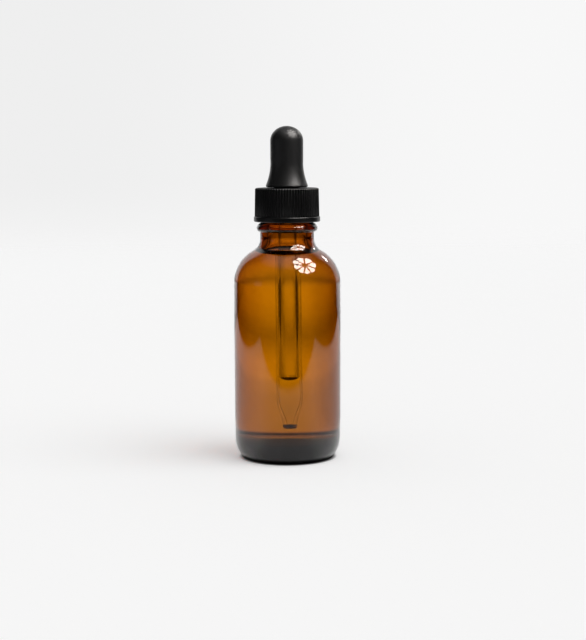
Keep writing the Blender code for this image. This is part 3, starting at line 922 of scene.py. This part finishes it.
def chosen_faces(piece, wanted):
    """The faces that wanted(centre, normal, outwards) is true for."""
    for face in piece.data.polygons:
        outwards = face.normal.dot(Vector((face.center.x, face.center.y, 0)).normalized())
        if wanted(face.center, face.normal, outwards):
            yield face


def finish_faces(piece, material, wanted):
    """Gives the chosen faces a finish of their own."""
    piece.data.materials.append(material)
    for face in chosen_faces(piece, wanted):
        face.material_index = len(piece.data.materials) - 1


def wet_faces(piece, wanted):
    """Marks the chosen faces as wet, for the glass material to read."""
    marks = piece.data.attributes.new(WET, "FLOAT", "FACE")
    for face in chosen_faces(piece, wanted):
        marks.data[face.index].value = 1.0


# The camera, fitted to the photograph's outline
CAMERA_DISTANCE = 540 * MM
CAMERA_HEIGHT = 114 * MM
CAMERA_PITCH_DEG = 6.74
CAMERA_YAW_DEG = 0.2165
CAMERA_ROLL_DEG = 0.2
FOCAL_LENGTH_PX = 1490.4
PHOTO_WIDTH_PX = 586
SENSOR_MM = 36.0


def make_camera():
    """The camera at the photograph's place."""
    data = bpy.data.cameras.new("camera")
    data.sensor_fit = "HORIZONTAL"
    data.sensor_width = SENSOR_MM
    data.lens = FOCAL_LENGTH_PX * SENSOR_MM / PHOTO_WIDTH_PX
    data.clip_start = 10 * MM
    camera = bpy.data.objects.new("camera", data)
    bpy.context.scene.collection.objects.link(camera)
    turn = Euler((math.radians(90 - CAMERA_PITCH_DEG), 0, -math.radians(CAMERA_YAW_DEG))).to_matrix()
    roll = Matrix.Rotation(-math.radians(CAMERA_ROLL_DEG), 3, "Z")
    camera.rotation_euler = (turn @ roll).to_euler()
    camera.location = (0, -CAMERA_DISTANCE, CAMERA_HEIGHT)
    bpy.context.scene.camera = camera


# The studio
TABLE_HALF_WIDTH = 0.32
TABLE_FRONT_Y = -0.185
TABLE_BACK_Y = 0.343
FLOOR_RADIUS = 3.0
FLOOR_DROP = 0.15 * MM
UMBRELLA_DIRECTION = Vector((0.505, -0.250, 0.826))
UMBRELLA_DISTANCE = 1.0
UMBRELLA_RADIUS = 0.51
UMBRELLA_SQUEEZE = 0.80
UMBRELLA_TURN_DEG = 45.0
UMBRELLA_PANELS = 8
UMBRELLA_STRENGTH = 19.0
# How far its edge dips between two ribs
UMBRELLA_SCALLOP = 0.16
BACK_LAMP_DIRECTION = Vector((0.53, 0.70, 0.47))
BACK_LAMP_DISTANCE = 1.0
BACK_LAMP_RADIUS = 0.09
BACK_LAMP_SQUEEZE = 0.6
BACK_LAMP_TURN_DEG = 20.0
BACK_LAMP_STRENGTH = 14.0
# Both lamps face the bottle at this height
LAMP_AIM_Z = 70 * MM
ROOM_LIGHT = 0.44
KEY_STRENGTH = 1.29
KEY_ANGLE_DEG = 53.0
TABLE_WHITE = 0.8
TABLE_GLOW = 0.30
TABLE_EDGE_BLUR = 0.015
HORIZON_LEVEL = 0.935
DARK_ROOM_LEVEL = 0.02
CARD_AZIMUTH_DEG = -114.0

# Soft steps between two stops (place, level). The background to the eye, by the direction's X and Z
BACKGROUND_SIDEWAYS = ((-0.16, 0.862), (0.16, 0.932))
BACKGROUND_BOTTOM = ((-0.10, 0.0), (-0.02, 1.0))
# The room in reflections, by the direction's Z, and a white card at its side, also by degrees
BACKDROP_TOP = ((0.75, 0.0), (0.55, 1.0))
CEILING = ((0.72, 0.0), (1.0, 0.7))
CARD_TOP = ((0.25, 0.0), (0.1, 1.0))
CARD_EDGES = ((11.0, 0.0), (8.0, 0.3))
# The room in glass, by the direction's Z
ROOM_TOP_THROUGH_GLASS = ((0.08, 1.0), (0.30, 0.2))
# The table, by the metres from the bottle's axis; where it fades, the eye sees the background
# Painted contact shadow round the bottle's foot, for every ray
CONTACT_SHADOW = ((0.0160, 0.03), (0.0186, 1.0))
# Painted shadow under the heel, in reflections only
PAINTED_SHADOW_UNDER_HEEL_REFLECTED = ((0.0165, 0.0), (0.0195, 1.0))
# Painted light on the table close by, in reflections only
PAINTED_LIGHT_CLOSE_BY_REFLECTED = ((0.055, 1.5), (0.095, 1.0))
# Painted shade on the table close round the bottle, through glass only
PAINTED_SHADE_CLOSE_BY_THROUGH_GLASS = ((0.034, 0.04), (0.049, 1.0))
FAR_AWAY = ((0.85, 0.0), (1.15, 1.0))
TABLE_FADE = ((0.35, 0.0), (1.6, 1.0))
# The umbrella, by the metres from a rib and from its middle
UMBRELLA_RIB = ((0.022, 0.0), (0.056, 1.0))
UMBRELLA_HUB = ((0.08, 0.0), (0.13, 1.0))
UMBRELLA_EDGE = ((0.40, 1.0), (0.44, 0.0))

# How bright the room is in glass, by the angle in degrees from straight behind, to the right
SEEN_THROUGH_GLASS = (
    (-180, 0.90), (-125, 0.85), (-98, 0.70), (-86, 0.30), (-76, 0.06), (-64, 0.08), (-48, 0.36),
    (-34, 0.50), (-21, 0.66), (-8, 0.93), (0, 0.95), (22, 0.80), (34, 0.58), (46, 0.36),
    (60, 0.10), (76, 0.05), (88, 0.30), (98, 0.70), (125, 0.85), (180, 0.90),
)
# The same in reflections: the white backdrop, and dark at both sides of it
BACKDROP_REFLECTED = ((-46, 0.0), (-38, 0.95), (45, 0.95), (53, 0.0))
# The table in glass, by the metres behind the bottle: bright, dim at its edge, and bright again
TABLE_THROUGH_GLASS = (
    (0.0, 0.95), (0.05, 0.82), (0.13, 0.86), (0.164, 0.97), (0.202, 1.22), (0.243, 1.20),
    (0.266, 1.10), (0.29, 0.95), (0.316, 0.82), (0.343, 0.70), (0.372, 0.75), (0.403, 0.86),
    (0.436, 1.0), (0.471, 1.12), (0.55, 1.28), (0.64, 1.30), (0.80, 1.30), (1.00, 0.95),
    (1.25, 0.50), (1.60, 0.45),
)
# How it falls off to the sides, by the angle in degrees from straight behind, to the right
SIDES_THROUGH_GLASS = (
    (-60, 0.60), (-32, 0.62), (-20, 0.74), (-8, 0.96), (10, 0.98), (22, 0.86), (34, 0.72),
    (60, 0.6),
)
# Far away, where the neck looks, it is dark to the sides
FAR_SIDES_THROUGH_GLASS = ((-30, 0.08), (-18, 1.0), (18, 1.0), (30, 0.08))
# The table in reflections, by the angle in degrees from straight in front
TABLE_REFLECTED = ((0, 0.56), (25, 0.62), (60, 1.0))


def make_world():
    """Pale to the eye and in glass; a dim room with a white backdrop in reflections."""
    world = bpy.data.worlds.new("studio")
    bpy.context.scene.world = world
    world.use_nodes = True
    tree = world.node_tree
    tree.nodes.clear()
    direction = add_node(tree, "TexCoord").outputs["Generated"]
    axes = add_node(tree, "SeparateXYZ", {"Vector": direction}).outputs
    azimuth = azimuth_of(tree, axes)

    background = ramp(tree, axes["X"], *BACKGROUND_SIDEWAYS)
    above = ramp(tree, axes["Z"], *BACKGROUND_BOTTOM)
    seen = add_node(tree, "Mix", {0: above, 2: HORIZON_LEVEL, 3: background})

    backdrop = profile(tree, azimuth, BACKDROP_REFLECTED)
    backdrop = product(tree, backdrop, ramp(tree, axes["Z"], *BACKDROP_TOP))
    off_card = add_node(tree, "Math", {0: azimuth, 1: CARD_AZIMUTH_DEG}, operation="SUBTRACT")
    off_card = add_node(tree, "Math", {0: off_card}, operation="ABSOLUTE")
    card = product(tree, ramp(tree, off_card, *CARD_EDGES), ramp(tree, axes["Z"], *CARD_TOP))
    room = DARK_ROOM_LEVEL
    for lit_part in (backdrop, card, ramp(tree, axes["Z"], *CEILING)):
        room = add_node(tree, "Math", {0: lit_part, 1: room}, operation="MAXIMUM")

    through = profile(tree, azimuth, SEEN_THROUGH_GLASS)
    through = product(tree, through, ramp(tree, axes["Z"], *ROOM_TOP_THROUGH_GLASS))
    strength = by_ray(tree, ROOM_LIGHT, {
        "Is Camera Ray": seen, "Is Glossy Ray": room, "Is Transmission Ray": through,
    })
    glow = add_node(tree, "Background", {"Color": (1, 1, 1, 1), "Strength": strength})
    add_node(tree, "OutputWorld", {"Surface": glow})


def floor_finish():
    """A white table: plain to the eye but for a painted contact shadow round the bottle's foot; in
    reflections and through glass it shows its edges, and painted light and painted shade near the
    bottle.
    """
    material, tree = new_material("white_table")
    axes, distance = place_on_piece(tree)
    azimuth = azimuth_of(tree, axes)
    blur = TABLE_EDGE_BLUR
    aside = add_node(tree, "Math", {0: axes["X"]}, operation="ABSOLUTE")
    on_width = ramp(tree, aside, (TABLE_HALF_WIDTH + blur, 0.0), (TABLE_HALF_WIDTH - blur, 1.0))
    past_front = ramp(tree, axes["Y"], (TABLE_FRONT_Y - blur, 0.0), (TABLE_FRONT_Y + blur, 1.0))
    past_back = ramp(tree, axes["Y"], (TABLE_BACK_Y - blur, 0.0), (TABLE_BACK_Y + blur, 1.0))
    behind = profile(tree, axes["Y"], TABLE_THROUGH_GLASS)

    from_back = add_node(tree, "Math", {0: azimuth}, operation="ABSOLUTE")
    from_front = add_node(tree, "Math", {0: 180.0, 1: from_back}, operation="SUBTRACT")
    on_table = product(tree, on_width, past_front, profile(tree, from_front, TABLE_REFLECTED))
    backdrop = product(tree, behind, profile(tree, azimuth, BACKDROP_REFLECTED))
    reflected = add_node(tree, "Mix", {0: past_back, 2: on_table, 3: backdrop})
    # Painted light close by and a painted shadow under the heel, in reflections
    close_by = ramp(tree, distance, *PAINTED_LIGHT_CLOSE_BY_REFLECTED)
    reflected = product(tree, reflected, close_by, ramp(tree, distance, *PAINTED_SHADOW_UNDER_HEEL_REFLECTED))

    around = profile(tree, azimuth, SEEN_THROUGH_GLASS)
    sides = profile(tree, azimuth, SIDES_THROUGH_GLASS)
    sides = add_node(tree, "Mix", {0: on_width, 2: around, 3: sides})
    far_sides = profile(tree, azimuth, FAR_SIDES_THROUGH_GLASS)
    far_away = ramp(tree, distance, *FAR_AWAY)
    far_sides = add_node(tree, "Mix", {0: far_away, 2: 1.0, 3: far_sides})
    # Painted shade close round the bottle, through glass
    close_by = ramp(tree, distance, *PAINTED_SHADE_CLOSE_BY_THROUGH_GLASS)
    through = product(tree, behind, sides, close_by, far_sides)

    share = by_ray(tree, 1.0, {"Is Glossy Ray": reflected, "Is Transmission Ray": through})
    # Painted contact shadow round the bottle's foot, for every ray
    share = product(tree, share, ramp(tree, distance, *CONTACT_SHADOW))
    white = product(tree, share, TABLE_WHITE)
    colour = add_node(tree, "CombineColor", {"Red": white, "Green": white, "Blue": white})
    paint = add_node(tree, "BsdfDiffuse", {"Color": colour})
    glow = add_node(tree, "Emission", {"Strength": product(tree, share, TABLE_GLOW)})
    lit = add_node(tree, "AddShader", {0: paint, 1: glow})
    clear = add_node(tree, "BsdfTransparent")
    fade = by_ray(tree, 0.0, {"Is Camera Ray": ramp(tree, distance, *TABLE_FADE)})
    table = add_node(tree, "MixShader", {0: fade, 1: lit, 2: clear})
    return finished(material, Surface=table)


def make_floor():
    """The white table, as a disc that fades into the background."""
    deselect()
    bpy.ops.mesh.primitive_circle_add(
        vertices=96, radius=FLOOR_RADIUS, fill_type="NGON", location=(0, 0, -FLOOR_DROP)
    )
    floor = bpy.context.object
    floor.name = "white_table"
    floor.data.materials.append(floor_finish())


def umbrella_finish():
    """A white photo umbrella lit from inside, with its ribs, its hub and its scalloped edge."""
    material, tree = new_material("lit_umbrella")
    axes, distance = place_on_piece(tree)
    angle = add_node(tree, "Math", {0: axes["Y"], 1: axes["X"]}, operation="ARCTAN2")
    sector = product(tree, angle, UMBRELLA_PANELS / math.tau)
    from_rib = add_node(tree, "Math", {0: sector, 1: 0.5}, operation="PINGPONG")
    rib = ramp(tree, product(tree, from_rib, distance), *UMBRELLA_RIB)
    hub = ramp(tree, distance, *UMBRELLA_HUB)
    dip = product(tree, from_rib, UMBRELLA_SCALLOP)
    scallop = add_node(tree, "Math", {0: distance, 1: dip}, operation="SUBTRACT")
    edge = ramp(tree, scallop, *UMBRELLA_EDGE)
    strength = product(tree, rib, hub, edge, UMBRELLA_STRENGTH)
    glow = add_node(tree, "Emission", {"Color": linear("FFFAF6"), "Strength": strength})
    return finished(material, Surface=glow)


def lamp_finish():
    """A small bright lamp head behind the bottle."""
    material, tree = new_material("lit_lamp")
    glow = add_node(tree, "Emission", {"Color": linear("FFFCF8"), "Strength": BACK_LAMP_STRENGTH})
    return finished(material, Surface=glow)


def make_disc_lamp(name, direction, distance, radius, squeeze, turn_deg, finish):
    """A bright disc that faces the bottle. It shows in reflections and in glass, not to the eye."""
    deselect()
    bpy.ops.mesh.primitive_circle_add(vertices=64, radius=radius, fill_type="NGON")
    disc = bpy.context.object
    disc.name = name
    disc.scale = (1, squeeze, 1)
    disc.location = direction.normalized() * distance + Vector((0, 0, LAMP_AIM_Z))
    turn = Quaternion((0, 0, 1), math.radians(turn_deg))
    disc.rotation_euler = (direction.to_track_quat("Z", "Y") @ turn).to_euler()
    disc.data.materials.append(finish)
    disc.visible_camera = False
    disc.visible_diffuse = False
    disc.visible_shadow = False


def make_key_light():
    """The umbrella's even light on the table, without its reflection."""
    data = bpy.data.lights.new("umbrella_light", "SUN")
    data.energy = KEY_STRENGTH
    data.angle = math.radians(KEY_ANGLE_DEG)
    light = bpy.data.objects.new("umbrella_light", data)
    bpy.context.scene.collection.objects.link(light)
    light.location = UMBRELLA_DIRECTION * UMBRELLA_DISTANCE
    light.rotation_euler = UMBRELLA_DIRECTION.to_track_quat("Z", "Y").to_euler()
    light.visible_glossy = False
    light.visible_camera = False
    light.visible_transmission = False


def main():
    """Builds and dresses the pieces, then the studio round them."""
    liquid_finish = clear_body("clear_thin_liquid", "FFFEFA", LIQUID_IOR)
    unseen_side = clear_body("liquid_against_wet_glass", "FFFFFF", 1.0)
    bottle = make_bottle()
    dress(bottle, amber_glass(), "bottle", "amber_glass", "bottle")
    wet_faces(
        bottle,
        lambda centre, normal, outwards: (
            BASE_THICKNESS - WELD < centre.z < CONTACT_Z
            and (outwards < INWARDS or (normal.z > FLOOR_RISE and centre.z < 2 * BASE_THICKNESS))
        ),
    )
    pipette = make_pipette()
    tube_glass = clear_body("drawn_clear_tube_glass", "FEFFFE", TUBE_IOR)
    dress(pipette, tube_glass, "dropper", "clear_glass", "pipette")
    finish_faces(
        pipette, clear_body("tube_glass_wet_inside", "FEFFFE", TUBE_IOR / LIQUID_IOR),
        lambda centre, normal, outwards: MOUTH_Z < centre.z < SLUG_EDGE_Z and outwards < INWARDS,
    )
    # The tip's end is drawn darker and grainy
    finish_faces(
        pipette, dark_tip_end(), lambda centre, normal, outwards: centre.z < TIP_Z + DARK_END_LENGTH
    )
    lean(pipette)
    liquid = make_liquid()
    dress(liquid, liquid_finish, "bottle", None)
    finish_faces(liquid, unseen_side, is_side_of_liquid)
    # The liquid's steep edge gets a painted near-black finish: painted shade
    finish_faces(
        liquid, painted_dark_meniscus_ring(),
        lambda centre, normal, outwards: (
            math.hypot(centre.x, centre.y) > PAINTED_DARK_RING_RADIUS
            and not is_side_of_liquid(centre, normal, outwards)
        ),
    )
    slug = make_slug()
    dress(slug, liquid_finish, "dropper", None)
    finish_faces(
        slug, unseen_side,
        lambda centre, normal, outwards: (
            abs(normal.z) < SLUG_SIDE_RISE and centre.z < SLUG_SIDE_TOP_Z and outwards > 0
        ),
    )
    lean(slug)
    collar = make_collar()
    lean(collar, COLLAR_RADIUS)
    dress(collar, liquid_finish, "bottle", None)
    on_glass = clear_body("liquid_on_tube_glass", "FFFFFF", LIQUID_IOR, mirror=0.0)
    finish_faces(collar, on_glass, is_side_of_liquid)
    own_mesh(collar)
    cap = make_cap()
    satin = cap_plastic("moulded_black_polypropylene", smoothest=0.25, roughest=0.36, gloss=0.5)
    dress(cap, satin, "cap", "black_polypropylene", "screw_cap")
    matt = cap_plastic("matt_top_of_black_polypropylene", smoothest=0.45, roughest=0.55, gloss=0.16)
    finish_faces(
        cap, matt,
        lambda centre, normal, outwards: (
            normal.z > CAP_TOP_RISE and centre.z > CAP_TOP_Z - CAP_EDGE_ROUND
        ),
    )
    bulb = make_bulb()
    dress(bulb, bulb_rubber(), None, "black_rubber", "bulb_base", "bulb_dome")
    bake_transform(bulb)
    make_camera()
    make_world()
    make_floor()
    make_disc_lamp(
        "umbrella", UMBRELLA_DIRECTION, UMBRELLA_DISTANCE, UMBRELLA_RADIUS, UMBRELLA_SQUEEZE,
        UMBRELLA_TURN_DEG, umbrella_finish()
    )
    make_disc_lamp(
        "back_lamp", BACK_LAMP_DIRECTION, BACK_LAMP_DISTANCE, BACK_LAMP_RADIUS, BACK_LAMP_SQUEEZE,
        BACK_LAMP_TURN_DEG, lamp_finish()
    )
    make_key_light()
    scene = bpy.context.scene
    scene.view_settings.view_transform = "Standard"
    scene.cycles.max_bounces = 32
    scene.cycles.transmission_bounces = 32
    scene.cycles.glossy_bounces = 16
    scene.cycles.transparent_max_bounces = 24


main()
